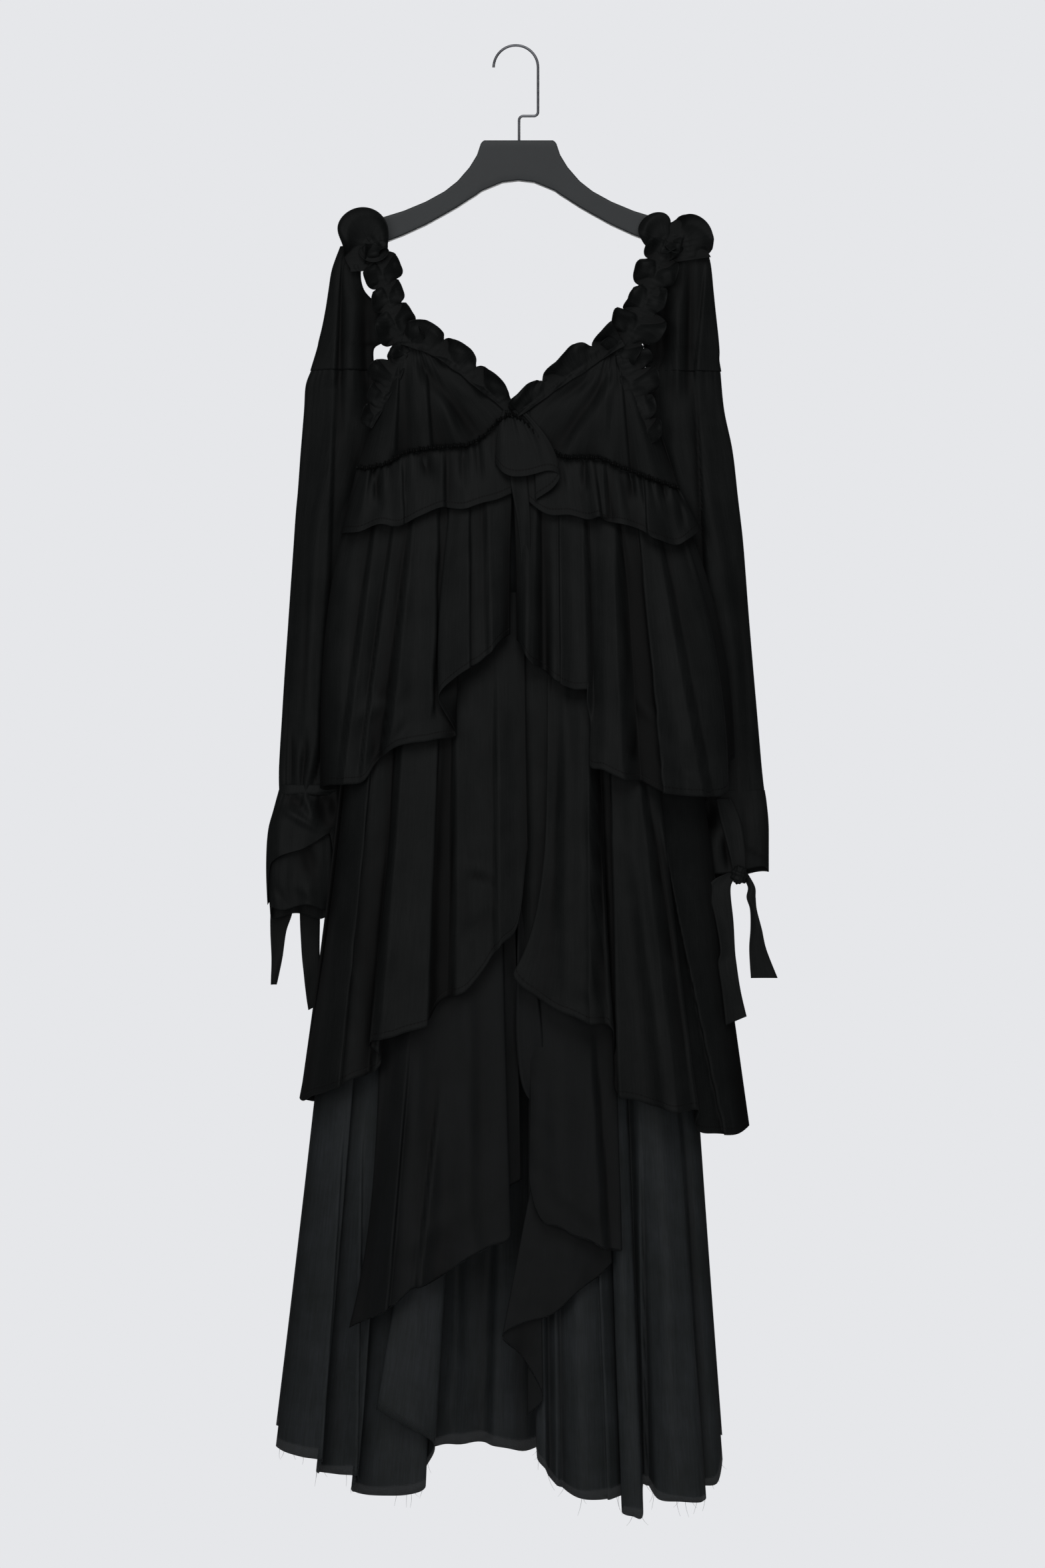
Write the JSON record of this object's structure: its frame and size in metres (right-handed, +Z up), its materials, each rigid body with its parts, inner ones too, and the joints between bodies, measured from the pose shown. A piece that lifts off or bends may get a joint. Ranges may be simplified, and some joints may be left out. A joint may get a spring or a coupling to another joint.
{
  "type": "tiered ruffle dress on hanger",
  "caption": "Long black dress with ruffled straps, long sleeves tied at the wrists and ragged tiers split at the centre front, hanging on a flat hanger with a wire hook.",
  "frame": {"origin": "inner top of the hanger hook's bow, where a nail or rail carries it", "axes": "+Z up along the hanging dress, -Y towards the front of the dress, +X to the viewer's right"},
  "size_m": [0.551, 0.118, 1.5889],
  "materials": {
    "crepe_black": "soft black crepe with a faint sheen, edges turned and topstitched",
    "chiffon_blue_black": "matt blue-black chiffon, a little sheer, with raw frayed hems",
    "hanger_board": "matt charcoal moulded board",
    "hook_wire": "dark gunmetal wire with a soft shine"
  },
  "bodies": {
    "root": {"hanger_body": "hanger_board", "hanger_hook": "hook_wire", "cup_left": "crepe_black", "cup_right": "crepe_black", "bodice_back": "crepe_black", "strap_left": "crepe_black", "strap_right": "crepe_black", "bust_ruffle_left": "crepe_black", "bust_ruffle_right": "crepe_black", "bust_ruffle_back": "crepe_black", "bust_cascade": "crepe_black", "tier_one_left": "crepe_black", "tier_one_right": "crepe_black", "tier_one_back": "crepe_black", "tier_two_left": "crepe_black", "tier_two_right": "crepe_black", "tier_two_back": "crepe_black", "tier_three_left": "chiffon_blue_black", "tier_three_right": "chiffon_blue_black", "tier_three_cascade": "chiffon_blue_black", "tier_three_back": "chiffon_blue_black", "skirt_front_left": "chiffon_blue_black", "skirt_front_right": "chiffon_blue_black", "skirt_back": "chiffon_blue_black", "sleeve_upper_left": "crepe_black", "sleeve_upper_right": "crepe_black", "sleeve_lower_left": "crepe_black", "sleeve_lower_right": "crepe_black", "cuff_frill_left": "crepe_black", "cuff_frill_right": "crepe_black", "strap_ruffle_left": "crepe_black", "strap_ruffle_right": "crepe_black", "shoulder_ruffle_left": "crepe_black", "shoulder_ruffle_right": "crepe_black", "neck_ruffle_left": "crepe_black", "neck_ruffle_right": "crepe_black", "armhole_ruffle_left": "crepe_black", "armhole_ruffle_right": "crepe_black", "tie_left_outer": "crepe_black", "tie_left_inner": "crepe_black", "tie_right_loop": "crepe_black", "tie_right_inner": "crepe_black", "tie_right_outer": "crepe_black"}
  },
  "joints": []
}
